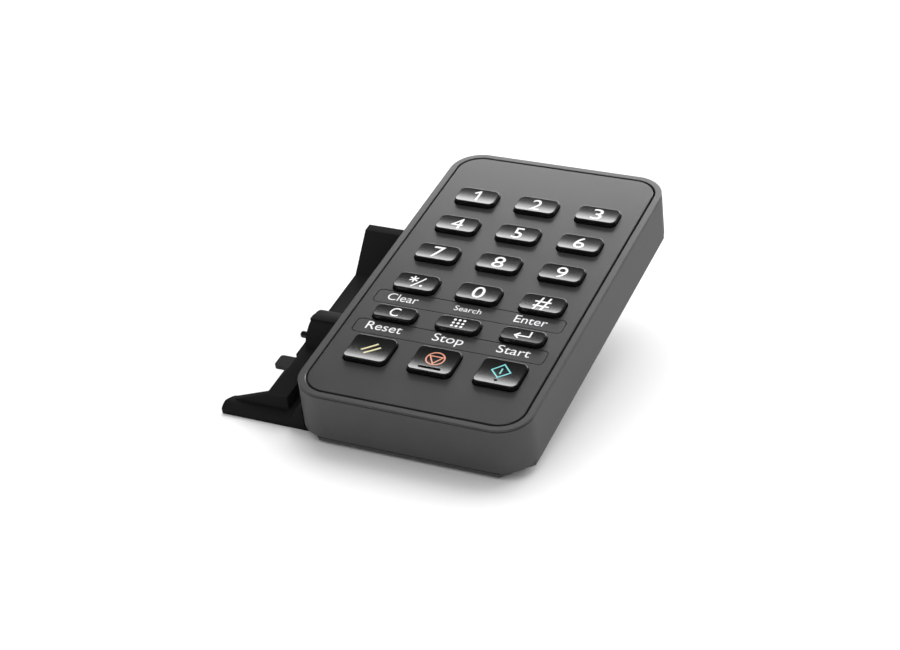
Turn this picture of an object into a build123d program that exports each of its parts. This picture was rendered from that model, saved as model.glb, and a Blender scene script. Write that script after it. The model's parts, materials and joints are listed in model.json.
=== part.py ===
from build123d import *
import math
import os

os.makedirs("parts", exist_ok=True)

# A flat numeric keypad unit with a moulded bracket along its left side. All sizes are in millimetres.
# Everything is drawn level, in the unit's own frame: x across, y towards the far end, z = 0 on the
# face. "stand" then leans the unit and lifts it onto the surface that it stands on, whose height is 0.

# How the unit stands
tilt = 13.95                 # degrees that the far end leans up
face_height = 32.79          # from the surface to the middle of the face
unit_x = 3.0                 # middle of the face, from the middle of the support base
unit_y = -1.0
stand = Pos(unit_x, unit_y, face_height) * Rot(tilt, 0, 0)

# Casing
body_width = 72.0
body_length = 130.0
body_corner = 10.0
wall = 1.8
draft_growth = 0.5           # the walls flare by this much, over both sides, on their way down
bezel_edge = 0.35            # visible height of the bezel's side
shadow_gap = 0.35            # height of the parting grooves
shadow_depth = 0.5
case_top = -bezel_edge - shadow_gap
case_bottom = -15.4
cover_top = case_bottom - shadow_gap
cover_bottom = -17.5
cover_inset = 0.3            # how far the cover stands inside the walls
cover_corner = 8.0           # 45 degree cut at the cover's corners
fit = 0.1                    # gap between parts that nest
lip_width = 1.5              # the cover's lip, inside the walls
lip_height = 3.0

# Face
panel_width = 66.5
panel_length = 124.6
panel_corner = 7.4
panel_thickness = 1.6
groove = 0.55                # dark groove between the panel and the bezel
ledge = 2.2                  # the bezel's ledge under the panel

# Keys
column_pitch = 20.3
column_offset = 0.35
row_pitch = 15.97
first_row_y = 39.4
key_width = 13.5
digit_depth = 8.2
small_key_y = -24.35
small_depth = 6.3
large_key_y = -42.0
large_depth = 11.6
key_corner = 1.9
key_rise = 1.6               # height of a key's near edge above the face
key_draft = 7.0              # degrees
key_gap = 0.27                # around a key, in its opening
key_edge = 0.28              # rounding of a key's top edge
scoop_radius = 40.0          # the key's top is hollowed along y
scoop_offset = 1.0           # the hollow's low point is beyond the key's middle
key_shell = 1.0
flange_gap = 0.15
flange_width = 0.7
flange_thickness = 0.8
post_bottom = -2.75
post_radius = 1.6

# Label strips, let into the face
strip_width = 60.1
strip_corner = 1.4
strip_thickness = 0.38
strip_recess = 0.4
strip_gap = 0.22
strip_groove = 1.15          # depth of the dark gap around a strip
upper_strip = (-19.2, -13.1)
lower_strip = (-34.2, -28.0)

# Switch layers under the keys
dome_top = -2.8
mat_top = -4.8
board_top = -5.6
board_bottom = -6.8
board_width = 62.6
board_length = 111.0
dome_radius = 3.4
dome_top_radius = 2.0
dome_ceiling = -3.9
pill_radius = 1.4
pill_thickness = 0.6

# Fasteners
panel_post_x = 10.2
panel_post_rows = (31.4, -0.5, -32.0)
panel_post_radius = 2.0
board_screw_radius = 0.85
thread_gap = 0.05            # around a screw's shank where it bites
screw_room = 0.25            # around a screw's shank where it passes
case_screw_x = 26.0
case_screw_y = 58.9
case_screw_radius = 1.2
bezel_post_radius = 2.5
bezel_post_bottom = -14.0
cover_screw_radius = 1.3
cover_boss_radius = 3.0
cover_boss_top = -10.75
head_radius = 2.3
head_height = 1.5

# Ribbon slot and the parts on the board
ribbon_y = 50.0
ribbon_slot_width = 22.0
ribbon_slot_depth = 5.6
chip_x = -12.0
chip_y = 15.0
chip_side = 10.0

# Side bracket
strip_left = -48.3
strip_right = -41.6
strip_top = -10.7
bracket_wall = 1.6
bracket_bottom = cover_bottom
bracket_inner_x = -36.4      # just clear of the casing's wall
channel_floor = -15.4
front_wall_y = -56.9
foot_front_y = -60.2
foot_tip_x = -62.7
foot_shoulder_x = -60.4      # where the sloping gusset meets the foot's nose
foot_shoulder_z = -15.5
foot_crest_z = -15.2
foot_nose_z = -17.0
foot_roll = (-58.9, -15.75)  # y and z of a point on the nose's rounded top
foot_low = -25.0             # under the surface, where the foot is cut off
stop_foot = (-39.85, -16.6)  # x and z of the slanted edge of the block that closes the channel
stop_head = (-37.05, -11.1)
stop_right = -33.0
ramp_y = 4.5
ramp_top_z = -0.5
ramp_lean = 45.8             # degrees back from upright
ramp_top_depth = 3.1
knuckle_y = -26.2
knuckle_z = -11.7
knuckle_radius = 8.0
knuckle_left = -46.7
rib_y = (-28.4, -25.2)       # flat rib along the top of the knuckle
rib_rise = 0.15
pin_z = -12.2
pin_radius = 1.1
pin_root_radius = 1.35       # the part held in the bracket
pin_tip = -52.4
pin_inner = -38.0
flange_inner_x = -22.5
flange_y = (-52.0, 16.0)
front_end_x = -30.5          # where the foot ends, under the casing
bracket_flange = 1.5
bracket_screw_x = -29.0
bracket_screw_rows = (-44.0, -17.0, 10.0)
body_clearance = 0.12

# Steel stay and its tongue
stay_top = -11.7
stay_thickness = 1.3
tongue_left = -53.2
tongue_y = (-42.9, -37.7)
pocket_y = (-45.0, -37.4)
pocket_depth = 0.7
tongue_gap = 0.15

# Support base
base_width = 36.0
base_length = 92.0
base_corner = 5.0
base_wall = 2.0
pad_thickness = 1.2
base_screws = ((-15.0, -38.0), (9.0, -38.0), (-15.0, 28.0), (9.0, 28.0))
insert_spacing_x = 22.0
insert_spacing_y = 40.0
insert_length = 4.0
insert_radius = 2.1
insert_bore = 1.25
far_below = -80.0
far_above = 80.0


def save(node, shape):
    export_step(shape, f"parts/{node}.step")


def save_unit_part(node, shape):
    save(node, stand * shape)


def block(x0, x1, y0, y1, z0, z1):
    middle = Pos((x0 + x1) / 2, (y0 + y1) / 2, (z0 + z1) / 2)
    return middle * Box(x1 - x0, y1 - y0, z1 - z0)


def slab(width, length, corner, low, high, x=0.0, y=0.0):
    return Pos(x, y, low) * extrude(RectangleRounded(width, length, corner), high - low)


def rod(radius, low, high, x=0.0, y=0.0):
    return Pos(x, y, (low + high) / 2) * Cylinder(radius, high - low)


def cone(low_radius, high_radius, low, high, x=0.0, y=0.0):
    return Pos(x, y, (low + high) / 2) * Cone(low_radius, high_radius, high - low)


def cross_prism(points, x0, x1):
    # An outline in the y-z plane, drawn out along x.
    face = make_face(Polyline([(0, y, z) for y, z in points], close=True))
    return Pos(x0, 0, 0) * extrude(face, x1 - x0, dir=(1, 0, 0))


def front_prism(points, y0, y1):
    # An outline in the x-z plane, drawn out along y.
    face = make_face(Polyline([(x, 0, z) for x, z in points], close=True))
    return Pos(0, y0, 0) * extrude(face, y1 - y0, dir=(0, 1, 0))


def key_places():
    # Every key's node name, middle and depth.
    rows = [
        (first_row_y, digit_depth, ("key_1", "key_2", "key_3")),
        (first_row_y - row_pitch, digit_depth, ("key_4", "key_5", "key_6")),
        (first_row_y - 2 * row_pitch, digit_depth, ("key_7", "key_8", "key_9")),
        (first_row_y - 3 * row_pitch, digit_depth, ("key_star", "key_0", "key_hash")),
        (small_key_y, small_depth, ("key_clear", "key_search", "key_enter")),
        (large_key_y, large_depth, ("key_reset", "key_stop", "key_start")),
    ]
    places = []
    for y, depth, names in rows:
        for column, name in enumerate(names):
            x = (column - 1) * column_pitch + column_offset
            places.append((name, x, y, depth))
    return places


def panel_posts():
    return [(x, y) for y in panel_post_rows for x in (-panel_post_x, panel_post_x)]


def case_screw_places():
    return [(x, y) for y in (-case_screw_y, case_screw_y) for x in (-case_screw_x, case_screw_x)]


def cover_screw_places():
    return [(bracket_screw_x, y) for y in bracket_screw_rows] + list(base_screws)


def screw(radius, head, head_depth, low, high, x, y):
    # A pan-head screw pointing up, with a cross recess in its head, its seat at "low".
    shank = rod(radius, low, high - radius, x, y) + cone(radius, radius * 0.3, high - radius, high, x, y)
    cap = rod(head, low - head_depth, low, x, y)
    cap = fillet(cap.edges().group_by(Axis.Z)[0], head_depth * 0.35)
    recess_low = low - head_depth
    recess_high = low - head_depth * 0.45
    arm = head * 0.55
    thin = head * 0.14
    cross = block(x - arm, x + arm, y - thin, y + thin, recess_low, recess_high)
    cross += block(x - thin, x + thin, y - arm, y + arm, recess_low, recess_high)
    return shank + cap - cross


def face_panel():
    panel = slab(panel_width, panel_length, panel_corner, -panel_thickness, 0)
    panel = chamfer(panel.edges().group_by(Axis.Z)[-1], 0.15)
    for _, x, y, depth in key_places():
        corner = key_corner + key_gap
        panel -= slab(key_width + 2 * key_gap, depth + 2 * key_gap, corner, -panel_thickness, 0, x, y)
    for near, far in (upper_strip, lower_strip):
        width = strip_width + 2 * strip_gap
        length = far - near + 2 * strip_gap
        middle = (near + far) / 2
        pocket = slab(width, length, strip_corner + strip_gap, -strip_groove, 0, 0, middle)
        seat = slab(strip_width, far - near, strip_corner, -strip_groove, -strip_recess, 0, middle)
        panel -= pocket - seat
    for x, y in panel_posts():
        panel += rod(panel_post_radius, board_top, -panel_thickness, x, y)
        panel -= rod(board_screw_radius + thread_gap, board_top, -panel_thickness, x, y)
    return panel


def label_strip(near, far):
    low = -strip_recess
    strip = slab(strip_width, far - near, strip_corner, low, low + strip_thickness, 0, (near + far) / 2)
    return chamfer(strip.edges().group_by(Axis.Z)[-1], 0.08)


def top_bezel():
    opening_width = panel_width + 2 * groove
    opening_length = panel_length + 2 * groove
    opening_corner = panel_corner + groove
    rim = slab(body_width, body_length, body_corner, -bezel_edge, 0)
    rim = fillet(rim.edges().group_by(Axis.Z)[-1], 0.3)
    neck = 2 * shadow_depth
    rim += slab(body_width - neck, body_length - neck, body_corner - shadow_depth, case_top, -bezel_edge)
    inset = 2 * (wall + fit)
    skirt_low = -6.0
    rim += slab(body_width - inset, body_length - inset, body_corner - wall - fit, skirt_low, case_top)
    rim -= slab(opening_width, opening_length, opening_corner, -panel_thickness, 0)
    rim = chamfer(rim.edges().group_by(Axis.Z)[-1].sort_by(SortBy.LENGTH)[:8], 0.2)
    hole_width = opening_width - 2 * ledge
    hole_length = opening_length - 2 * ledge
    rim -= slab(hole_width, hole_length, opening_corner - ledge, skirt_low, -panel_thickness)
    for x, y in case_screw_places():
        rim += rod(bezel_post_radius, bezel_post_bottom, -panel_thickness, x, y)
        rim -= rod(case_screw_radius + thread_gap, bezel_post_bottom, -4.0, x, y)
    return rim


def middle_case():
    height = case_top - case_bottom
    flare = draft_growth / 2
    draft = math.degrees(math.atan(flare / height))
    outline = RectangleRounded(body_width + 2 * flare, body_length + 2 * flare, body_corner + flare)
    case = Pos(0, 0, case_bottom) * extrude(outline, height, taper=draft)
    case = chamfer(case.edges().group_by(Axis.Z)[-1], 0.15)
    case = chamfer(case.edges().group_by(Axis.Z)[0], 0.15)
    inner = 2 * wall
    return case - slab(body_width - inner, body_length - inner, body_corner - wall, case_bottom, case_top)


def cover_outline(inset):
    width = body_width + draft_growth - 2 * (cover_inset + inset)
    length = body_length + draft_growth - 2 * (cover_inset + inset)
    outline = Rectangle(width, length)
    return chamfer(outline.vertices(), cover_corner)


def bottom_cover():
    plate = Pos(0, 0, cover_bottom) * extrude(cover_outline(0), cover_top - cover_bottom)
    cover = chamfer(plate.edges().group_by(Axis.Z)[0], 0.7)
    # Above the floor, a low rim meets the walls, and a lip stands up inside them.
    inset = 2 * (wall + fit)
    lip_corner = body_corner - wall - fit
    rim = Pos(0, 0, cover_top) * extrude(cover_outline(2 * shadow_depth), case_bottom - cover_top)
    lip = slab(body_width - inset, body_length - inset, lip_corner, case_bottom, case_bottom + lip_height)
    inset += 2 * lip_width
    lip_top = case_bottom + lip_height
    hollow = slab(body_width - inset, body_length - inset, lip_corner - lip_width, cover_top, lip_top)
    cover += rim + lip - hollow
    for x, y in case_screw_places():
        cover += rod(bezel_post_radius + 0.8, cover_top, bezel_post_bottom, x, y)
        cover -= rod(case_screw_radius + screw_room, cover_bottom, bezel_post_bottom, x, y)
        cover -= rod(head_radius + 0.3, cover_bottom, cover_bottom + head_height, x, y)
    for x, y in cover_screw_places():
        cover += rod(cover_boss_radius, cover_top, cover_boss_top, x, y)
        cover -= rod(cover_screw_radius + thread_gap, cover_bottom, cover_boss_top - 0.6, x, y)
    ribbon_slot = slab(ribbon_slot_width, ribbon_slot_depth, 1.0, cover_bottom, cover_top, 0, ribbon_y)
    return cover - ribbon_slot


def key_cap(x, y, depth):
    outline = RectangleRounded(key_width, depth, key_corner)
    cap = extrude(outline, key_rise + 1.0, taper=key_draft)
    # The near edge stands key_rise above the face, and the hollow falls away from it.
    sag = (depth / 2 + scoop_offset) ** 2 / (2 * scoop_radius)
    scoop_middle = Pos(0, scoop_offset, key_rise - sag + scoop_radius)
    cap -= scoop_middle * Rot(0, 90, 0) * Cylinder(scoop_radius, 4 * key_width)
    top = cap.faces().filter_by(GeomType.CYLINDER).sort_by(SortBy.AREA)[-1]
    cap = fillet(top.edges(), key_edge)
    flange_top = -panel_thickness - flange_gap
    flange_low = flange_top - flange_thickness
    cap += slab(key_width, depth, key_corner, flange_top, 0)
    wide = 2 * flange_width
    cap += slab(key_width + wide, depth + wide, key_corner + flange_width, flange_low, flange_top)
    thin = 2 * key_shell
    cap -= slab(key_width - thin, depth - thin, key_corner - key_shell, flange_low, 0)
    cap += rod(post_radius, post_bottom, 0, 0, 0)
    return Pos(x, y, 0) * cap


def rubber_mat():
    mat = slab(board_width - 1, board_length - 1, 2.0, board_top, mat_top)
    for _, x, y, _ in key_places():
        mat += cone(dome_radius, dome_top_radius, mat_top, dome_top, x, y)
        mat -= cone(dome_radius - 0.5, pill_radius + 0.3, board_top, dome_ceiling, x, y)
    for x, y in panel_posts():
        mat -= rod(panel_post_radius + 0.3, board_top, mat_top, x, y)
    return mat


def contact_pills():
    low = dome_ceiling - pill_thickness
    return Compound([rod(pill_radius, low, dome_ceiling, x, y) for _, x, y, _ in key_places()])


def circuit_board():
    board = slab(board_width, board_length, 2.0, board_bottom, board_top)
    for x, y in panel_posts():
        board -= rod(board_screw_radius + screw_room, board_bottom, board_top, x, y)
    return board


def controller_chip():
    # A flat square package with short legs on its four sides.
    low = board_bottom - 1.3
    half = chip_side / 2
    chip = block(chip_x - half, chip_x + half, chip_y - half, chip_y + half, low, board_bottom - 0.1)
    chip = chamfer(chip.edges().group_by(Axis.Z)[0], 0.3)
    leg_pitch = 1.0
    reach = half + 0.9
    for leg in range(8):
        offset = (leg - 3.5) * leg_pitch
        for turn in (0, 90, 180, 270):
            foot = block(half - 0.3, reach, offset - 0.18, offset + 0.18, board_bottom - 0.3, board_bottom)
            chip += Pos(chip_x, chip_y, 0) * Rot(0, 0, turn) * foot
    return chip


def board_capacitors():
    places = [(-24, 40), (-20, 40), (4, 18), (4, 12), (24, -20), (24, -24), (-22, -8)]
    low = board_bottom - 1.0
    return Compound([block(x - 1, x + 1, y - 0.6, y + 0.6, low, board_bottom) for x, y in places])


def ribbon_connector():
    # A low connector whose mouth faces the far end, beside the slot in the cover.
    y0 = ribbon_y - 9.0
    y1 = y0 + 5.0
    low = board_bottom - 2.4
    housing = block(-11.5, 11.5, y0, y1, low, board_bottom)
    housing = chamfer(housing.edges().group_by(Axis.Z)[0], 0.3)
    return housing - block(-10, 10, y1 - 3.5, y1, low + 0.8, low + 1.3)


def board_screws():
    size = (board_screw_radius, 1.7, 1.0, board_bottom, board_top + 3.2)
    return Compound([screw(*size, x, y) for x, y in panel_posts()])


def case_screws():
    size = (case_screw_radius, head_radius, head_height - 0.2, cover_bottom + head_height, -8.0)
    return Compound([screw(*size, x, y) for x, y in case_screw_places()])


def bracket_screws():
    ends = (cover_bottom - bracket_flange, cover_boss_top - 1.2)
    size = (cover_screw_radius, head_radius, head_height, *ends)
    return Compound([screw(*size, bracket_screw_x, y) for y in bracket_screw_rows])


def base_fixing_screws():
    ends = (cover_bottom - base_wall, cover_boss_top - 1.2)
    size = (cover_screw_radius, head_radius, head_height, *ends)
    return Compound([screw(*size, x, y) for x, y in base_screws])


def below_surface():
    # Everything under the surface that the unit stands on, in the unit's own frame.
    return stand.inverse() * block(-200, 200, -200, 200, far_below, 0)


def casing_space():
    # The casing with a little room around it, for the bracket to be cut back to.
    wide = draft_growth + 2 * body_clearance
    return slab(body_width + wide, body_length + wide, body_corner, cover_bottom, far_above)


def pin_stretch(radius, x0, x1):
    return Pos((x0 + x1) / 2, knuckle_y, pin_z) * Rot(0, 90, 0) * Cylinder(radius, x1 - x0)


def foot_lip():
    # A low nose with a rounded top, its left end cut back on a slant in plan.
    back_y = front_wall_y + bracket_wall
    crest = (front_wall_y + 0.4, foot_crest_z)
    nose = (foot_front_y, foot_nose_z)
    side = [nose, (foot_front_y, foot_low), (back_y, foot_low), (back_y, foot_crest_z), crest]
    straight = Polyline([(0, y, z) for y, z in side])
    roll = ThreePointArc((0, *crest), (0, *foot_roll), (0, *nose))
    lip = extrude(make_face([straight, roll]), bracket_inner_x - foot_tip_x, dir=(1, 0, 0))
    slant = [(foot_shoulder_x, back_y), (foot_tip_x + 0.4, -58.0), (foot_tip_x, foot_front_y)]
    right = [(flange_inner_x, foot_front_y), (flange_inner_x, back_y)]
    plan = make_face(Polyline(slant + right, close=True))
    plan = fillet(plan.vertices().sort_by(Axis.X)[1:3], 1.2)
    column = Pos(0, 0, far_below) * extrude(plan, far_above - far_below)
    return (Pos(foot_tip_x, 0, 0) * lip) & column


def foot():
    # The flared front end: the lip, a sloping gusset up to the strip, and an upright block that
    # closes the channel in front and meets the casing's corner.
    back_y = front_wall_y + bracket_wall
    slope = [(strip_left, strip_top), (foot_shoulder_x, foot_shoulder_z), (foot_shoulder_x, foot_low)]
    slope += [(strip_right, foot_low), (strip_right, strip_top)]
    gusset = front_prism(slope, front_wall_y, back_y)
    end = [stop_foot, stop_head, (stop_right, stop_head[1]), (stop_right, foot_low)]
    end.append((stop_foot[0], foot_low))
    stop = front_prism(end, foot_front_y, back_y)
    return foot_lip() + gusset + stop


def ramp_back():
    rise = ramp_top_z - strip_top
    return ramp_y + rise * math.tan(math.radians(ramp_lean)) + ramp_top_depth


def beam():
    # The strip beside the casing, hollow from below, with a channel next to the casing's wall.
    right = bracket_inner_x
    strip = block(strip_left, right, front_wall_y, ramp_back(), bracket_bottom, strip_top)
    strip -= block(strip_right, right + 1, foot_front_y, knuckle_y, channel_floor, 0)
    front_hollow = (front_wall_y + bracket_wall, knuckle_y - knuckle_radius)
    rear_hollow = (knuckle_y + knuckle_radius, ramp_y - bracket_wall)
    inner_left = strip_left + bracket_wall
    strip -= block(inner_left, strip_right - bracket_wall, *front_hollow, bracket_bottom, stay_top)
    strip -= block(inner_left, right - bracket_wall, *rear_hollow, bracket_bottom, strip_top - bracket_wall)
    pocket_floor = stay_top - 2 * stay_thickness
    strip -= block(strip_left, strip_left + pocket_depth, *pocket_y, pocket_floor, strip_top)
    return strip


def ramp():
    # The rear upright: a face that leans back, a flat top, and two open bays behind, with a rib between.
    top_back = ramp_back()
    top_front = top_back - ramp_top_depth
    side = [(ramp_y, strip_top), (top_front, ramp_top_z), (top_back, ramp_top_z)]
    side += [(top_back, bracket_bottom), (ramp_y, bracket_bottom)]
    solid = cross_prism(side, strip_left, bracket_inner_x)
    bay_front = ramp_y + 2 * bracket_wall
    bay_top = ramp_top_z - bracket_wall
    bay_floor = strip_top - bracket_wall
    behind = top_back + 1
    bay = [(bay_front, strip_top), (top_front, bay_top), (behind, bay_top)]
    bay += [(behind, bay_floor), (bay_front, bay_floor)]
    middle = (strip_left + bracket_inner_x) / 2
    half_rib = 0.6
    left_bay = cross_prism(bay, strip_left + bracket_wall, middle - half_rib)
    right_bay = cross_prism(bay, middle + half_rib, bracket_inner_x - bracket_wall)
    return solid - left_bay - right_bay


def knuckle():
    # A barrel across the strip, with a flat rib along its top.
    length = bracket_inner_x - knuckle_left
    middle = Pos((bracket_inner_x + knuckle_left) / 2, knuckle_y, knuckle_z)
    barrel = middle * Rot(0, 90, 0) * Cylinder(knuckle_radius, length)
    barrel -= block(strip_left, 0, foot_front_y, 0, far_below, bracket_bottom)
    rib_top = knuckle_z + knuckle_radius + rib_rise
    rib = block(knuckle_left - 0.2, bracket_inner_x, *rib_y, knuckle_z, rib_top)
    left_corners = rib.edges().filter_by(Axis.Z).group_by(Axis.X)[0].sort_by(Axis.Y)
    rib = fillet(left_corners[-1], 1.8)
    return barrel + rib


def under_flange():
    # A plate under the cover, screwed to it, and the foot's edge where it passes under the casing.
    low = cover_bottom - bracket_flange
    plate = block(strip_right, flange_inner_x, *flange_y, low, cover_bottom)
    plate = fillet(plate.edges().filter_by(Axis.Z).sort_by(Axis.X)[-2:], 3.0)
    back_y = front_wall_y + bracket_wall
    front = block(stop_foot[0], front_end_x, foot_front_y, back_y, foot_low, cover_bottom)
    link = block(stop_foot[0], front_end_x, back_y, flange_y[0] + 1.0, low, cover_bottom)
    return plate + front + link


def side_bracket():
    bracket = beam() + ramp() + knuckle() + foot() + under_flange()
    bracket -= casing_space()
    bracket -= below_surface()
    bracket -= pin_stretch(pin_root_radius + 0.02, strip_left - 1.0, pin_inner)
    slot_low = stay_top - stay_thickness - tongue_gap
    slot_y = (tongue_y[0] - tongue_gap, tongue_y[1] + tongue_gap)
    bracket -= block(strip_left, strip_left + bracket_wall + 1, *slot_y, slot_low, stay_top)
    low = cover_bottom - bracket_flange
    for y in bracket_screw_rows:
        bracket -= rod(cover_screw_radius + screw_room, low, cover_bottom, bracket_screw_x, y)
    return bracket


def bracket_stay():
    # A strip of sheet steel inside the bracket, with a tongue that comes out through the pocket.
    low = stay_top - stay_thickness
    left = strip_left + bracket_wall + 0.1
    right = strip_right - bracket_wall - 0.1
    plate = block(left, right, front_wall_y + 2.0, knuckle_y - knuckle_radius - 0.5, low, stay_top)
    tongue = block(tongue_left, left + 1, *tongue_y, low, stay_top)
    tongue = fillet(tongue.edges().filter_by(Axis.Z).sort_by(Axis.X)[:2], 0.9)
    return plate + tongue


def locating_pin():
    free_end = pin_stretch(pin_radius, pin_tip, strip_left)
    free_end = fillet(free_end.edges().group_by(Axis.X)[0], pin_radius * 0.7)
    return free_end + pin_stretch(pin_root_radius, strip_left, pin_inner)


def base_tubes(radius, depth_below_cover):
    return [rod(radius, far_below, cover_bottom - depth_below_cover, x, y) for x, y in base_screws]


def insert_places():
    x = insert_spacing_x / 2
    y = insert_spacing_y / 2
    return [(-x, -y), (x, -y), (-x, y), (x, y)]


def support_base():
    # A wedge-shaped tray, level below, leaning above to carry the cover. It is drawn as it stands.
    above_cover = stand * block(-200, 200, -200, 200, cover_bottom, far_above)
    low = pad_thickness
    solid = slab(base_width, base_length, base_corner, low, 60)
    solid = chamfer(solid.edges().group_by(Axis.Z)[0], 0.6)
    inner = 2 * base_wall
    hollow = slab(base_width - inner, base_length - inner, base_corner - base_wall, low + base_wall, 60)
    base = solid - hollow
    for tube in base_tubes(head_radius + 1.6, 0):
        base += (stand * tube) & solid
    for x, y in insert_places():
        base += rod(insert_radius + 1.2, low, low + insert_length + 0.5, x, y)
    for tube in base_tubes(head_radius + 0.4, base_wall):
        base -= stand * tube
    for tube in base_tubes(cover_screw_radius + screw_room, 0):
        base -= stand * tube
    for x, y in insert_places():
        base -= rod(insert_radius, low, low + insert_length, x, y)
    return base - above_cover


def threaded_inserts():
    low = pad_thickness
    inserts = []
    for x, y in insert_places():
        sleeve = rod(insert_radius, low, low + insert_length, x, y)
        inserts.append(sleeve - rod(insert_bore, low, low + insert_length, x, y))
    return Compound(inserts)


def foot_pad():
    pad = slab(base_width - 1.2, base_length - 1.2, base_corner - 0.6, 0, pad_thickness)
    for tube in base_tubes(head_radius + 0.9, base_wall):
        pad -= stand * tube
    for x, y in insert_places():
        pad -= rod(insert_bore + 0.4, 0, pad_thickness, x, y)
    return pad


save_unit_part("face_panel", face_panel())
save_unit_part("upper_label_strip", label_strip(*upper_strip))
save_unit_part("lower_label_strip", label_strip(*lower_strip))
save_unit_part("top_bezel", top_bezel())
save_unit_part("middle_case", middle_case())
save_unit_part("bottom_cover", bottom_cover())
save_unit_part("rubber_mat", rubber_mat())
save_unit_part("contact_pills", contact_pills())
save_unit_part("circuit_board", circuit_board())
save_unit_part("controller_chip", controller_chip())
save_unit_part("board_capacitors", board_capacitors())
save_unit_part("ribbon_connector", ribbon_connector())
save_unit_part("board_screws", board_screws())
save_unit_part("case_screws", case_screws())
save_unit_part("side_bracket", side_bracket())
save_unit_part("bracket_stay", bracket_stay())
save_unit_part("locating_pin", locating_pin())
save_unit_part("bracket_screws", bracket_screws())
save_unit_part("base_screws", base_fixing_screws())
for key_name, key_x, key_y, key_depth in key_places():
    save_unit_part(key_name, key_cap(key_x, key_y, key_depth))
save("support_base", support_base())
save("threaded_inserts", threaded_inserts())
save("foot_pad", foot_pad())
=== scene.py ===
import json
import math

import bpy
from mathutils import Matrix, Vector


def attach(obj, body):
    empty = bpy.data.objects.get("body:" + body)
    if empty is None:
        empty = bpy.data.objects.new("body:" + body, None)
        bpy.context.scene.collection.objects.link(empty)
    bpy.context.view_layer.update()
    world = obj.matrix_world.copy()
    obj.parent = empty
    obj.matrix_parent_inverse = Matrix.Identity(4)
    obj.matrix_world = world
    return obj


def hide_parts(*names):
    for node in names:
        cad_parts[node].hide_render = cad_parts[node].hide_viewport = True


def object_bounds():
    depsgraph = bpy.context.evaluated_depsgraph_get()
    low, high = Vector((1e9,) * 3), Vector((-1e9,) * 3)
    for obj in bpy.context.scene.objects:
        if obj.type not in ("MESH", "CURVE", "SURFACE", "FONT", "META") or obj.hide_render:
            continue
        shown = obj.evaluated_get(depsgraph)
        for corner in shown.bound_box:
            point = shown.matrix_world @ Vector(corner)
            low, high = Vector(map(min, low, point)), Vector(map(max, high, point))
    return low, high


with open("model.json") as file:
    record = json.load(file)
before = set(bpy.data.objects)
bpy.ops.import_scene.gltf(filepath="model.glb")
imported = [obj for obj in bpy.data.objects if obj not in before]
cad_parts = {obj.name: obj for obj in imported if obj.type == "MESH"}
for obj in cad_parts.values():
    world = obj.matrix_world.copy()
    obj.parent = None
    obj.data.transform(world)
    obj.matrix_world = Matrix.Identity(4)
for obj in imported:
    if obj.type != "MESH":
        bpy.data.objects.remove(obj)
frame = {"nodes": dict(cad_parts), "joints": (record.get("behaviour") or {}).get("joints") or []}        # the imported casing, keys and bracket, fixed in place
cadLow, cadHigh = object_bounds()
nodes = frame["nodes"]
millimetre = 0.001


# Stage: camera, floor and studio light
stageValues = {
    "cameraPlace": (0.2105, -0.50315, 0.2630),
    "cameraLooks": (-0.36609, 0.83467, -0.41142),
    "lens": 78.456,
    "floorSize": 40.0,
    "skyLight": 0.12,
}
softboxes = {             # gloss only: compass and height in degrees, distance and size in metres, watts
    "softboxBack": {"compass": 2, "height": 28.5, "away": 1.3, "wide": 1.40, "tall": 0.72, "power": 23},
}
suns = {                  # broad light with no mirror image: compass, height and spread in degrees
    "sunBack": {"compass": 2, "height": 44, "spread": 80, "power": 2.6},
    "sunOverhead": {"compass": 180, "height": 86, "spread": 165, "power": 2.2},
}


def directionOf(compass, height):
    # compass counts from straight back (+Y) towards the left (-X)
    flat = math.cos(math.radians(height))
    left = math.sin(math.radians(compass))
    back = math.cos(math.radians(compass))
    return Vector((-left * flat, back * flat, math.sin(math.radians(height))))


def facing(direction):
    return direction.to_track_quat("-Z", "Y").to_euler()


def selectOnly(piece):
    bpy.ops.object.select_all(action="DESELECT")
    piece.select_set(True)
    bpy.context.view_layer.objects.active = piece


def addCamera():
    look = Vector(stageValues["cameraLooks"])
    bpy.ops.object.camera_add(location=stageValues["cameraPlace"], rotation=facing(look))
    camera = bpy.context.object
    camera.data.lens = stageValues["lens"]
    camera.data.sensor_width = 36.0
    bpy.context.scene.camera = camera


def addLights():
    middle = (cadLow + cadHigh) / 2
    for name, box in softboxes.items():
        toward = directionOf(box["compass"], box["height"])
        bpy.ops.object.light_add(type="AREA", location=middle + toward * box["away"],
                                 rotation=facing(-toward))
        lamp = bpy.context.object
        lamp.name = name
        lamp.data.shape = "RECTANGLE"
        lamp.data.size = box["wide"]
        lamp.data.size_y = box["tall"]
        lamp.data.energy = box["power"]
        lamp.visible_diffuse = False
    for name, glow in suns.items():
        toward = directionOf(glow["compass"], glow["height"])
        bpy.ops.object.light_add(type="SUN", location=toward, rotation=facing(-toward))
        sun = bpy.context.object
        sun.name = name
        sun.data.energy = glow["power"]
        sun.data.angle = math.radians(glow["spread"])
        sun.visible_glossy = False
    world = bpy.data.worlds.new("studioSky")
    world.use_nodes = True
    sky = world.node_tree.nodes["Background"]
    sky.inputs["Color"].default_value = (1.0, 1.0, 1.0, 1.0)
    sky.inputs["Strength"].default_value = stageValues["skyLight"]
    bpy.context.scene.world = world
    bpy.context.scene.view_settings.view_transform = "Standard"


# Finishes
class Wire:
    def __init__(self, finish, socket):
        self.finish = finish
        self.socket = socket

    def combine(self, operation, first, second):
        return self.finish.node("ShaderNodeMath", {"operation": operation}, [first, second])

    def __add__(self, other):
        return self.combine("ADD", self, other)

    def __sub__(self, other):
        return self.combine("SUBTRACT", self, other)

    def __rsub__(self, other):
        return self.combine("SUBTRACT", other, self)

    def __mul__(self, other):
        return self.combine("MULTIPLY", self, other)

    __radd__ = __add__
    __rmul__ = __mul__


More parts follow.
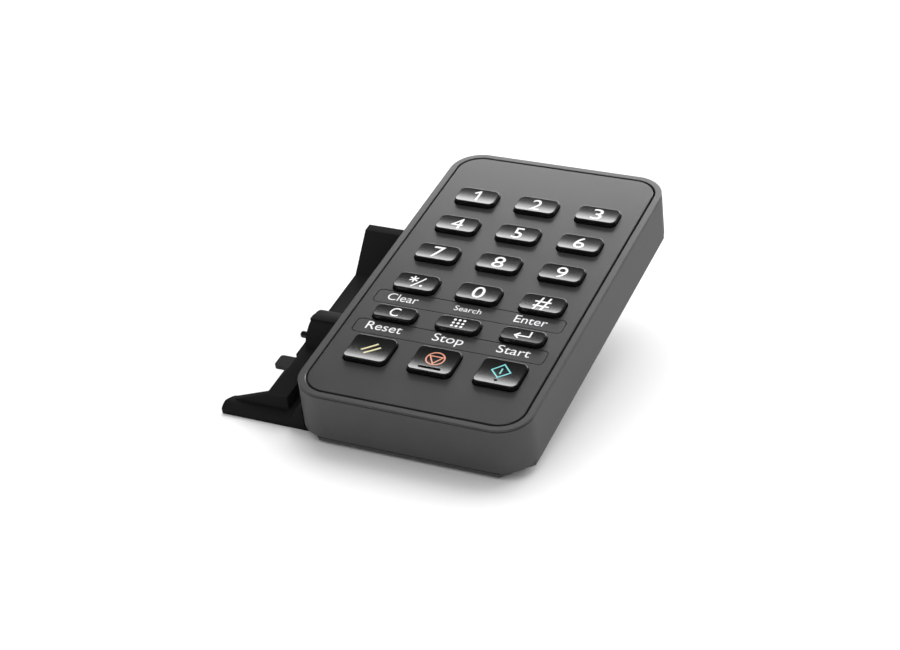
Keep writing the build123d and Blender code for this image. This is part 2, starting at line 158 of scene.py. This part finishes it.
class Finish:
    def __init__(self, name):
        self.material = bpy.data.materials.new(name)
        self.material.use_nodes = True
        self.tree = self.material.node_tree
        self.surface = self.tree.nodes["Principled BSDF"]

    def feed(self, socket, value):
        if isinstance(value, Wire):
            self.tree.links.new(value.socket, socket)
        else:
            socket.default_value = value

    def node(self, kind, settings=None, values=(), output=0):
        made = self.tree.nodes.new(kind)
        for name, setting in (settings or {}).items():
            setattr(made, name, setting)
        pairs = values.items() if isinstance(values, dict) else enumerate(values)
        for key, value in pairs:
            self.feed(made.inputs[key], value)
        return Wire(self, made.outputs[output])

    def place(self, stretch=(1.0, 1.0, 1.0)):
        spot = self.node("ShaderNodeTexCoord", output="Object")
        return self.node("ShaderNodeMapping", {}, {"Vector": spot, "Scale": stretch})

    def noise(self, size, detail=2.0, stretch=(1.0, 1.0, 1.0)):
        # size is the width of one patch in millimetres
        values = {"Vector": self.place(stretch), "Scale": 1000.0 / size, "Detail": detail}
        return self.node("ShaderNodeTexNoise", {}, values)

    def between(self, factor, first, second):
        values = {"Factor": factor, 6: first, 7: second}
        return self.node("ShaderNodeMix", {"data_type": "RGBA"}, values, output=2)

    def bump(self, height, depth):
        # depth in millimetres
        values = {"Height": height, "Strength": 1.0, "Distance": depth * millimetre}
        return self.node("ShaderNodeBump", {}, values)

    def set(self, **values):
        for key, value in values.items():
            self.feed(self.surface.inputs[socketNames[key]], value)


socketNames = {
    "colour": "Base Color", "roughness": "Roughness", "metal": "Metallic",
    "coat": "Coat Weight", "coatRoughness": "Coat Roughness", "bump": "Normal",
    "specular": "Specular IOR Level",
}


def grey(value):
    return (value, value, value, 1.0)


def shade(colour, factor):
    return (colour[0] * factor, colour[1] * factor, colour[2] * factor, 1.0)


# Moulded finishes: colour, how rough, grain width and depth in millimetres, cloudiness
mouldedFinishes = {
    "panel_plastic": {"colour": grey(0.032), "rough": 0.30, "grain": 0.35, "depth": 0.002, "cloud": 0.05},
    "strip_plastic": {"colour": grey(0.031), "rough": 0.30, "grain": 0.35, "depth": 0.002, "cloud": 0.05},
    "bezel_plastic": {"colour": grey(0.044), "rough": 0.32, "grain": 0.30, "depth": 0.003, "cloud": 0.06},
    "case_plastic": {"colour": grey(0.050), "rough": 0.58, "grain": 0.42, "depth": 0.060, "cloud": 0.20,
                     "specular": 0.4},
    "cover_plastic": {"colour": grey(0.045), "rough": 0.60, "grain": 0.42, "depth": 0.040, "cloud": 0.14},
    "bracket_plastic": {"colour": grey(0.012), "rough": 0.62, "grain": 0.40, "depth": 0.012,
                        "cloud": 0.18, "specular": 0.03},
    "silicone_rubber": {"colour": grey(0.28), "rough": 0.70, "grain": 0.25, "depth": 0.010, "cloud": 0.10},
    "carbon_rubber": {"colour": grey(0.015), "rough": 0.80, "grain": 0.20, "depth": 0.020, "cloud": 0.20},
    "pad_rubber": {"colour": grey(0.018), "rough": 0.85, "grain": 0.45, "depth": 0.040, "cloud": 0.20},
    "chip_resin": {"colour": grey(0.014), "rough": 0.62, "grain": 0.15, "depth": 0.012, "cloud": 0.15},
    "capacitor_ceramic": {"colour": (0.36, 0.25, 0.15, 1.0), "rough": 0.45, "grain": 0.20,
                          "depth": 0.010, "cloud": 0.15},
    "connector_plastic": {"colour": (0.55, 0.53, 0.47, 1.0), "rough": 0.50, "grain": 0.25,
                          "depth": 0.008, "cloud": 0.08},
}


def mouldedFinish(name, look):
    finish = Finish(name)
    cloud = finish.noise(9.0, 3.0)
    grain = finish.noise(look["grain"], 1.5)
    light = shade(look["colour"], 1 + look["cloud"])
    dark = shade(look["colour"], 1 - look["cloud"])
    rough = look["rough"] - 0.04 + cloud * 0.05 + grain * 0.03
    finish.set(colour=finish.between(cloud * 0.6 + grain * 0.4, dark, light), roughness=rough,
               bump=finish.bump(grain, look["depth"]), specular=look.get("specular", 0.5))
    return finish.material


keyGloss = {"colour": grey(0.0015), "roughness": 0.21, "coat": 0.15, "coatRoughness": 0.16,
            "wipeMarks": 0.01}


def keyFinish():
    finish = Finish("keyGlossBlack")
    wipes = finish.noise(2.2, 3.0, (0.35, 1.0, 1.0))
    cloud = finish.noise(9.0, 2.0)
    colour = finish.between(cloud, shade(keyGloss["colour"], 0.8), shade(keyGloss["colour"], 1.25))
    finish.set(colour=colour, roughness=keyGloss["roughness"] + wipes * keyGloss["wipeMarks"],
               coat=keyGloss["coat"], coatRoughness=keyGloss["coatRoughness"],
               bump=finish.bump(finish.noise(4.0), 0.0002))
    return finish.material


# Metal finishes: colour, how rough, and the stretch of the draw marks
metalFinishes = {
    "black_steel": {"colour": grey(0.020), "rough": 0.36, "metal": 0.75, "marks": (1.0, 0.10, 1.0)},
    "screw_steel": {"colour": grey(0.50), "rough": 0.28, "metal": 1.0, "marks": (1.0, 1.0, 0.15)},
    "insert_brass": {"colour": (0.62, 0.42, 0.16, 1.0), "rough": 0.30, "metal": 1.0,
                     "marks": (1.0, 1.0, 0.2)},
}


def metalFinish(name, look):
    finish = Finish(name)
    marks = finish.noise(0.5, 4.0, look["marks"])
    cloud = finish.noise(3.0, 2.0)
    colour = finish.between(cloud, shade(look["colour"], 0.82), shade(look["colour"], 1.12))
    finish.set(colour=colour, metal=look["metal"],
               roughness=look["rough"] - 0.08 + marks * 0.16, bump=finish.bump(marks, 0.004))
    return finish.material


boardLook = {"resin": (0.010, 0.075, 0.028, 1.0), "copper": (0.030, 0.150, 0.055, 1.0), "trackWidth": 1.6}


def boardFinish():
    finish = Finish("boardLaminate")
    tracks = finish.node("ShaderNodeTexBrick", {"offset": 0.37, "squash": 1.6, "squash_frequency": 3}, {
        "Vector": finish.place((1000.0, 1000.0, 1000.0)), "Color1": grey(0.0), "Color2": grey(0.25),
        "Mortar": grey(1.0), "Scale": 1.0 / boardLook["trackWidth"], "Mortar Size": 0.035,
        "Brick Width": 1.3, "Row Height": 0.5}, output="Color")
    weave = finish.noise(0.3, 1.0)
    finish.set(colour=finish.between(tracks, boardLook["resin"], boardLook["copper"]),
               roughness=0.32 + weave * 0.10, bump=finish.bump(tracks, 0.02))
    return finish.material


inkLooks = {              # printing inks, each with a slightly uneven laydown
    "inkWhite": (0.86, 0.87, 0.88, 1.0),
    "inkYellow": (0.70, 0.64, 0.34, 1.0),
    "inkSalmon": (0.72, 0.27, 0.16, 1.0),
    "inkCyan": (0.14, 0.60, 0.62, 1.0),
}


def inkFinish(name, colour):
    finish = Finish(name)
    laydown = finish.noise(0.6, 3.0)
    finish.set(colour=finish.between(laydown, shade(colour, 0.93), shade(colour, 1.0)),
               roughness=0.42 + laydown * 0.10, bump=finish.bump(laydown, 0.002))
    return finish.material


def floorFinish():
    finish = Finish("paleFloor")
    cloud = finish.noise(600.0, 2.0)
    finish.set(colour=finish.between(cloud, grey(0.90), grey(0.93)), roughness=0.85 + cloud * 0.05,
               specular=0.2)
    return finish.material


finishes = {name: mouldedFinish(name + "Finish", look) for name, look in mouldedFinishes.items()}
finishes.update({name: metalFinish(name + "Finish", look) for name, look in metalFinishes.items()})
finishes.update({name: inkFinish(name, colour) for name, colour in inkLooks.items()})
finishes["key_plastic"] = keyFinish()
finishes["board_laminate"] = boardFinish()
finishes["floor"] = floorFinish()
print("finishes made:", len(finishes))


def coverNodes():
    for node in nodes.values():
        for slot in node.material_slots:
            slot.material = finishes[slot.material.name.split(".")[0]]


def addFloor():
    bpy.ops.object.select_all(action="DESELECT")
    bpy.ops.mesh.primitive_plane_add(size=stageValues["floorSize"])
    floor = bpy.context.object
    floor.name = "studioFloor"
    floor.data.materials.append(finishes["floor"])


# The unit is drawn level and then leaned back, as the keys' travel shows
pressAxis = Vector(frame["joints"][0]["axis"])
lean = math.atan2(pressAxis.y, -pressAxis.z)
layLevel = Matrix.Rotation(-lean, 4, "X")


def levelBox(node):
    spots = [layLevel @ vertex.co for vertex in nodes[node].data.vertices]
    low = Vector([min(spot[i] for spot in spots) for i in range(3)])
    high = Vector([max(spot[i] for spot in spots) for i in range(3)])
    return low, high


faceLow, faceHigh = levelBox("face_panel")
faceMiddle = (faceLow + faceHigh) / 2


def spotOnKey(node, across, along):
    # millimetres from the middle of a key's cap, above it
    low, high = levelBox(node)
    middle = (low + high) / 2
    return Vector((middle.x + across * millimetre, middle.y + along * millimetre, high.z))


def spotOnFace(across, along):
    # millimetres from the middle of the face panel, above it
    return Vector((faceMiddle.x + across * millimetre, faceMiddle.y + along * millimetre, faceHigh.z))


# Printed legends and labels
printing = {
    "hover": 4.0,         # millimetres above the surface before the print is laid down
    "lift": 0.030,        # the print's top above the surface
    "liftStep": 0.004,    # each further stroke lies this much higher
    "thickness": 0.055,   # most of it is sunk into the surface
    "cutEvery": 0.45,     # cuts across the print so that it follows the dished key
    "stroke": 0.5,
    "strokeRounding": 0.18,  # of the stroke's width
    "mergeBelow": 0.0001,    # in the font's own units
}


def editAll(piece):
    selectOnly(piece)
    bpy.ops.object.mode_set(mode="EDIT")
    bpy.ops.mesh.select_all(action="SELECT")


def cutAcross(piece):
    edges = [vertex.co.y for vertex in piece.data.vertices]
    step = printing["cutEvery"] * millimetre
    count = int((max(edges) - min(edges)) / step)
    editAll(piece)
    for i in range(1, count + 1):
        bpy.ops.mesh.select_all(action="SELECT")
        bpy.ops.mesh.bisect(plane_co=(0, min(edges) + i * step, 0), plane_no=(0, 1, 0))
    bpy.ops.object.mode_set(mode="OBJECT")


def layDown(piece, node, strokeNumber=0):
    # the flat print is cut into strips, leaned with the unit, dropped on the part and given its thickness
    cutAcross(piece)
    piece.rotation_euler = (lean, 0, 0)
    wrap = piece.modifiers.new("laidOn", "SHRINKWRAP")
    wrap.target = nodes[node]
    wrap.wrap_method = "PROJECT"
    wrap.use_project_z = True
    wrap.use_positive_direction = False
    wrap.use_negative_direction = True
    wrap.offset = (printing["lift"] + strokeNumber * printing["liftStep"]) * millimetre
    wall = piece.modifiers.new("printThickness", "SOLIDIFY")
    wall.thickness = printing["thickness"] * millimetre
    wall.offset = -1.0
    selectOnly(piece)
    bpy.ops.object.modifier_apply(modifier="laidOn")
    bpy.ops.object.modifier_apply(modifier="printThickness")
    bpy.ops.object.transform_apply(location=True, rotation=True, scale=True)


def applyPlace(piece):
    selectOnly(piece)
    bpy.ops.object.transform_apply(location=True, rotation=True, scale=True)


def boxOf(piece):
    spots = [vertex.co for vertex in piece.data.vertices]
    low = Vector([min(spot[i] for spot in spots) for i in range(3)])
    high = Vector([max(spot[i] for spot in spots) for i in range(3)])
    return low, high


def flatText(words, spot, tall, wide=None):
    # capitals and digits are centred on the spot
    bpy.ops.object.select_all(action="DESELECT")
    bpy.ops.object.text_add(location=(0, 0, 0))
    text = bpy.context.object
    text.data.body = words
    text.data.resolution_u = 5
    bpy.ops.object.convert(target="MESH")
    printed = bpy.context.object
    editAll(printed)
    bpy.ops.mesh.remove_doubles(threshold=printing["mergeBelow"])
    bpy.ops.object.mode_set(mode="OBJECT")
    low, high = boxOf(printed)
    scaleUp = tall * millimetre / high.y
    scaleAcross = wide * millimetre / (high.x - low.x) if wide else scaleUp
    middle = (low.x + high.x) / 2 * scaleAcross
    printed.scale = (scaleAcross, scaleUp, 1.0)
    low = spot.y - tall * millimetre / 2
    printed.location = (spot.x - middle, low, spot.z + printing["hover"] * millimetre)
    applyPlace(printed)
    return printed


def flatStroke(spot, start, end, wide=None):
    # a straight stroke with softened ends, start and end in millimetres from the spot
    wide = wide or printing["stroke"]
    run = Vector(end) - Vector(start)
    middle = (Vector(start) + Vector(end)) / 2 * millimetre
    bpy.ops.object.select_all(action="DESELECT")
    bpy.ops.mesh.primitive_plane_add(size=1, location=spot + Vector((
        middle.x, middle.y, printing["hover"] * millimetre)), rotation=(0, 0, math.atan2(run.y, run.x)))
    stroke = bpy.context.object
    stroke.scale = (run.length * millimetre, wide * millimetre, 1.0)
    applyPlace(stroke)
    editAll(stroke)
    rounding = printing["strokeRounding"] * wide * millimetre
    bpy.ops.mesh.bevel(offset=rounding, segments=2, affect="VERTICES")
    bpy.ops.object.mode_set(mode="OBJECT")
    return stroke


def flatOutline(spot, sides, radius, wide, turn=0.0, stretch=1.0):
    # a closed outline: a ring, a triangle or a diamond
    bpy.ops.object.select_all(action="DESELECT")
    bpy.ops.mesh.primitive_circle_add(
        vertices=sides, radius=radius * millimetre, fill_type="NGON",
        location=spot + Vector((0, 0, printing["hover"] * millimetre)), rotation=(0, 0, turn))
    outline = bpy.context.object
    applyPlace(outline)
    editAll(outline)
    bpy.ops.mesh.inset(thickness=wide * millimetre, use_even_offset=True)
    bpy.ops.mesh.delete(type="FACE")
    bpy.ops.mesh.select_all(action="SELECT")
    bpy.ops.transform.resize(value=(1.0, stretch, 1.0), center_override=tuple(spot))
    bpy.ops.object.mode_set(mode="OBJECT")
    return outline


def flatDot(spot, across, along, wide):
    centre = spot + Vector((across, along, printing["hover"])) * millimetre
    bpy.ops.object.select_all(action="DESELECT")
    bpy.ops.mesh.primitive_circle_add(vertices=20, radius=wide / 2 * millimetre, fill_type="NGON",
                                      location=centre)
    dot = bpy.context.object
    applyPlace(dot)
    editAll(dot)
    bpy.ops.mesh.inset(thickness=wide * 0.12 * millimetre)
    bpy.ops.object.mode_set(mode="OBJECT")
    return dot


def joinPrint(name, parts, node, body, ink):
    for number, part in enumerate(parts):
        layDown(part, node, number)
    bpy.ops.object.select_all(action="DESELECT")
    for part in parts:
        part.select_set(True)
    bpy.context.view_layer.objects.active = parts[0]
    if len(parts) > 1:
        bpy.ops.object.join()
    printed = bpy.context.object
    printed.name = name
    printed.data.name = name
    printed.data.materials.clear()
    printed.data.materials.append(finishes[ink])
    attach(printed, body)


digitLegends = {          # millimetres: the digits' height and widths
    "tall": 5.5,
    "wide": {"2": 3.3, "3": 3.4, "4": 3.8, "5": 3.1, "6": 3.45, "7": 3.6, "8": 3.7, "9": 3.45,
             "0": 3.75, "#": 5.1},
    "oneStem": ((0.45, -2.75), (0.45, 2.75)),
    "oneFlag": ((0.35, 2.45), (-1.15, 1.3)),
    "oneStroke": 0.72,
}


def addDigits():
    oneSpot = spotOnKey("key_1", 0, 0)
    parts = [flatStroke(oneSpot, *digitLegends[part], digitLegends["oneStroke"])
             for part in ("oneStem", "oneFlag")]
    joinPrint("legend_1", parts, "key_1", "key_1", "inkWhite")
    for digit, wide in digitLegends["wide"].items():
        key = "key_hash" if digit == "#" else "key_" + digit
        part = flatText(digit, spotOnKey(key, 0, 0), digitLegends["tall"], wide)
        joinPrint("legend_" + key[4:], [part], key, key, "inkWhite")


signLegends = {           # strokes as start and end, millimetres from the key's middle
    "starArm": 1.5,
    "starSpot": (-1.28, 1.12),
    "slash": ((-0.95, -2.75), (2.35, 2.25)),
    "pointSpot": (2.05, -1.8),
    "clearTall": 4.0,
    "clearWide": 3.05,
    "dotPitch": 1.5,
    "dotWide": 0.9,
    "pointWide": 0.9,
    "arrow": [((-2.35, -0.5), (2.45, -0.5)), ((2.2, -0.3), (2.2, 2.0)),
              ((-2.45, -0.62), (-0.95, 0.75)), ((-2.45, -0.38), (-0.95, -1.75))],
    "resetBars": [((-2.4, -1.35), (1.6, 2.35)), ((-1.05, -2.75), (2.95, 0.95))],
    "barWide": 0.6,
}


def addStarLegend():
    spot = spotOnKey("key_star", 0, 0)
    centre = Vector(signLegends["starSpot"])
    arm = signLegends["starArm"]
    parts = []
    for turn in (90, 30, 150):
        reach = Vector((math.cos(math.radians(turn)), math.sin(math.radians(turn)))) * arm
        parts.append(flatStroke(spot, centre - reach, centre + reach))
    parts.append(flatStroke(spot, *signLegends["slash"]))
    parts.append(flatDot(spot, *signLegends["pointSpot"], signLegends["pointWide"]))
    joinPrint("legend_star", parts, "key_star", "key_star", "inkWhite")


def addSmallKeyLegends():
    clearSpot = spotOnKey("key_clear", 0, 0)
    letter = flatText("C", clearSpot, signLegends["clearTall"], signLegends["clearWide"])
    joinPrint("legend_clear", [letter], "key_clear", "key_clear", "inkWhite")
    searchSpot = spotOnKey("key_search", 0, 0)
    pitch = signLegends["dotPitch"]
    dots = [flatDot(searchSpot, i * pitch, j * pitch, signLegends["dotWide"])
            for i in (-1, 0, 1) for j in (-1, 0, 1)]
    joinPrint("legend_search", dots, "key_search", "key_search", "inkWhite")
    enterSpot = spotOnKey("key_enter", 0, 0)
    strokes = [flatStroke(enterSpot, start, end) for start, end in signLegends["arrow"]]
    joinPrint("legend_enter", strokes, "key_enter", "key_enter", "inkWhite")


largeLegends = {
    "along": 0.8,         # the signs stand a little behind the middle of the large keys
    "ringRadius": 2.95,
    "ringStroke": 0.42,
    "ringSides": 56,
    "triangleRadius": 2.75,
    "triangleStretch": 0.93,
    "diamondRadius": 3.15,
    "diamondStretch": 1.04,
    "startBar": 1.2,
    "startBarWide": 0.45,
    "ridgeAlong": -3.6,   # the stop key's finger ridge
    "ridgeSize": (6.9, 0.62, 0.34),
    "ridgeRounding": 0.22,
    "pipAlong": -3.4,     # the start key's finger pip
    "pipWide": 1.05,
    "pipTall": 0.34,
    "pipSunk": 0.08,      # the pip's flat underside lies this far inside the key
    "fivePip": (-0.1, -0.95),
}


def addLargeKeyLegends():
    resetSpot = spotOnKey("key_reset", 0, 0.2)
    bars = [flatStroke(resetSpot, start, end, signLegends["barWide"])
            for start, end in signLegends["resetBars"]]
    joinPrint("legend_reset", bars, "key_reset", "key_reset", "inkYellow")
    stroke = largeLegends["ringStroke"]
    stopSpot = spotOnKey("key_stop", 0, largeLegends["along"])
    ring = flatOutline(stopSpot, largeLegends["ringSides"], largeLegends["ringRadius"], stroke)
    triangleSpot = stopSpot + Vector((0, -0.05 * millimetre, 0))
    triangle = flatOutline(triangleSpot, 3, largeLegends["triangleRadius"], stroke, math.pi,
                           largeLegends["triangleStretch"])
    joinPrint("legend_stop", [ring, triangle], "key_stop", "key_stop", "inkSalmon")
    startSpot = spotOnKey("key_start", 0, largeLegends["along"])
    diamond = flatOutline(startSpot, 4, largeLegends["diamondRadius"], stroke, 0.0,
                          largeLegends["diamondStretch"])
    reach = largeLegends["startBar"]
    bar = flatStroke(startSpot, (0, -reach), (0, reach), largeLegends["startBarWide"])
    joinPrint("legend_start", [diamond, bar], "key_start", "key_start", "inkCyan")


def seatPip(name, key, pip):
    # the finished pip is leaned with the unit and rides on its key
    pip.rotation_euler = (lean, 0, 0)
    applyPlace(pip)
    bpy.ops.object.shade_smooth_by_angle(angle=math.radians(50))
    pip.name = name
    pip.data.name = name
    pip.data.materials.append(finishes["key_plastic"])
    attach(pip, key)


def surfaceHeight(key, spot):
    # height of the dished key top under a spot, both level
    up = layLevel.inverted().to_3x3()
    start = up @ (spot + Vector((0, 0, 0.002)))
    place = nodes[key].ray_cast(start, up @ Vector((0, 0, -1)))[1]
    return (layLevel @ place).z


def addPips():
    pips = {
        "pip_5": ("key_5", largeLegends["fivePip"]),
        "pip_start": ("key_start", (0, largeLegends["pipAlong"])),
    }
    for name, (key, offset) in pips.items():
        spot = spotOnKey(key, *offset)
        spot.z = surfaceHeight(key, spot)
        bpy.ops.object.select_all(action="DESELECT")
        bpy.ops.mesh.primitive_uv_sphere_add(segments=28, ring_count=16, location=spot,
                                             radius=largeLegends["pipWide"] / 2 * millimetre)
        pip = bpy.context.object
        pip.scale.z = largeLegends["pipTall"] * 2 / largeLegends["pipWide"]
        applyPlace(pip)
        editAll(pip)
        underside = spot - Vector((0, 0, largeLegends["pipSunk"] * millimetre))
        bpy.ops.mesh.bisect(plane_co=underside, plane_no=(0, 0, 1), clear_inner=True, use_fill=True)
        bpy.ops.object.mode_set(mode="OBJECT")
        seatPip(name, key, pip)


def addRidge():
    wide, deep, tall = largeLegends["ridgeSize"]
    spot = spotOnKey("key_stop", 0, largeLegends["ridgeAlong"])
    spot.z = surfaceHeight("key_stop", spot)
    bpy.ops.object.select_all(action="DESELECT")
    bpy.ops.mesh.primitive_cube_add(size=1, location=spot)
    ridge = bpy.context.object
    ridge.scale = (wide * millimetre, deep * millimetre, tall * 2 * millimetre)
    applyPlace(ridge)
    editAll(ridge)
    bpy.ops.mesh.bevel(offset=largeLegends["ridgeRounding"] * millimetre, segments=4, affect="EDGES")
    bpy.ops.object.mode_set(mode="OBJECT")
    seatPip("ridge_stop", "key_stop", ridge)


labels = {                # middle across, middle along, height and width in millimetres
    "Clear": (-21.25, -15.75, 3.3, 9.9, "upper_label_strip"),
    "Search": (-0.2, -15.75, 2.3, 8.6, "upper_label_strip"),
    "Enter": (19.8, -15.75, 3.3, 10.2, "upper_label_strip"),
    "Reset": (-20.8, -30.4, 3.5, 11.4, "lower_label_strip"),
    "Stop": (-0.25, -30.4, 3.5, 9.7, "lower_label_strip"),
    "Start": (20.2, -30.4, 3.5, 10.2, "lower_label_strip"),
}


def addLabels():
    for words, (across, along, tall, wide, strip) in labels.items():
        part = flatText(words, spotOnFace(across, along), tall, wide)
        joinPrint("label_" + words.lower(), [part], strip, "casing", "inkWhite")


# The bracket: the same body with its moulded edges softened
bracketValues = {
    "edgeSoftness": 0.22,  # millimetres
    "edgeAngle": 32,       # degrees
    "mergeBelow": 0.002,   # millimetres, to join the loose triangles
    "flatWithin": 0.5,     # degrees, to clear edges inside flat faces
}


def addBracket():
    source = nodes["side_bracket"]
    bracket = bpy.data.objects.new("bracketBody", source.data.copy())
    bpy.context.scene.collection.objects.link(bracket)
    selectOnly(bracket)
    bpy.ops.mesh.customdata_custom_splitnormals_clear()
    editAll(bracket)
    bpy.ops.mesh.remove_doubles(threshold=bracketValues["mergeBelow"] * millimetre)
    bpy.ops.mesh.dissolve_limited(angle_limit=math.radians(bracketValues["flatWithin"]))
    bpy.ops.object.mode_set(mode="OBJECT")
    soften = bracket.modifiers.new("softEdges", "BEVEL")
    soften.width = bracketValues["edgeSoftness"] * millimetre
    soften.segments = 2
    soften.limit_method = "ANGLE"
    soften.angle_limit = math.radians(bracketValues["edgeAngle"])
    selectOnly(bracket)
    bpy.ops.object.modifier_apply(modifier="softEdges")
    bpy.ops.object.shade_smooth_by_angle(angle=math.radians(bracketValues["edgeAngle"]))
    bracket.data.materials.clear()
    bracket.data.materials.append(finishes["bracket_plastic"])
    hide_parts("side_bracket")
    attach(bracket, "casing")


addCamera()
addLights()
addFloor()
coverNodes()
print("stage and casing finished")
addDigits()
addStarLegend()
addSmallKeyLegends()
addLargeKeyLegends()
addPips()
addRidge()
print("key legends printed")
addLabels()
print("labels printed")
addBracket()
print("bracket finished")
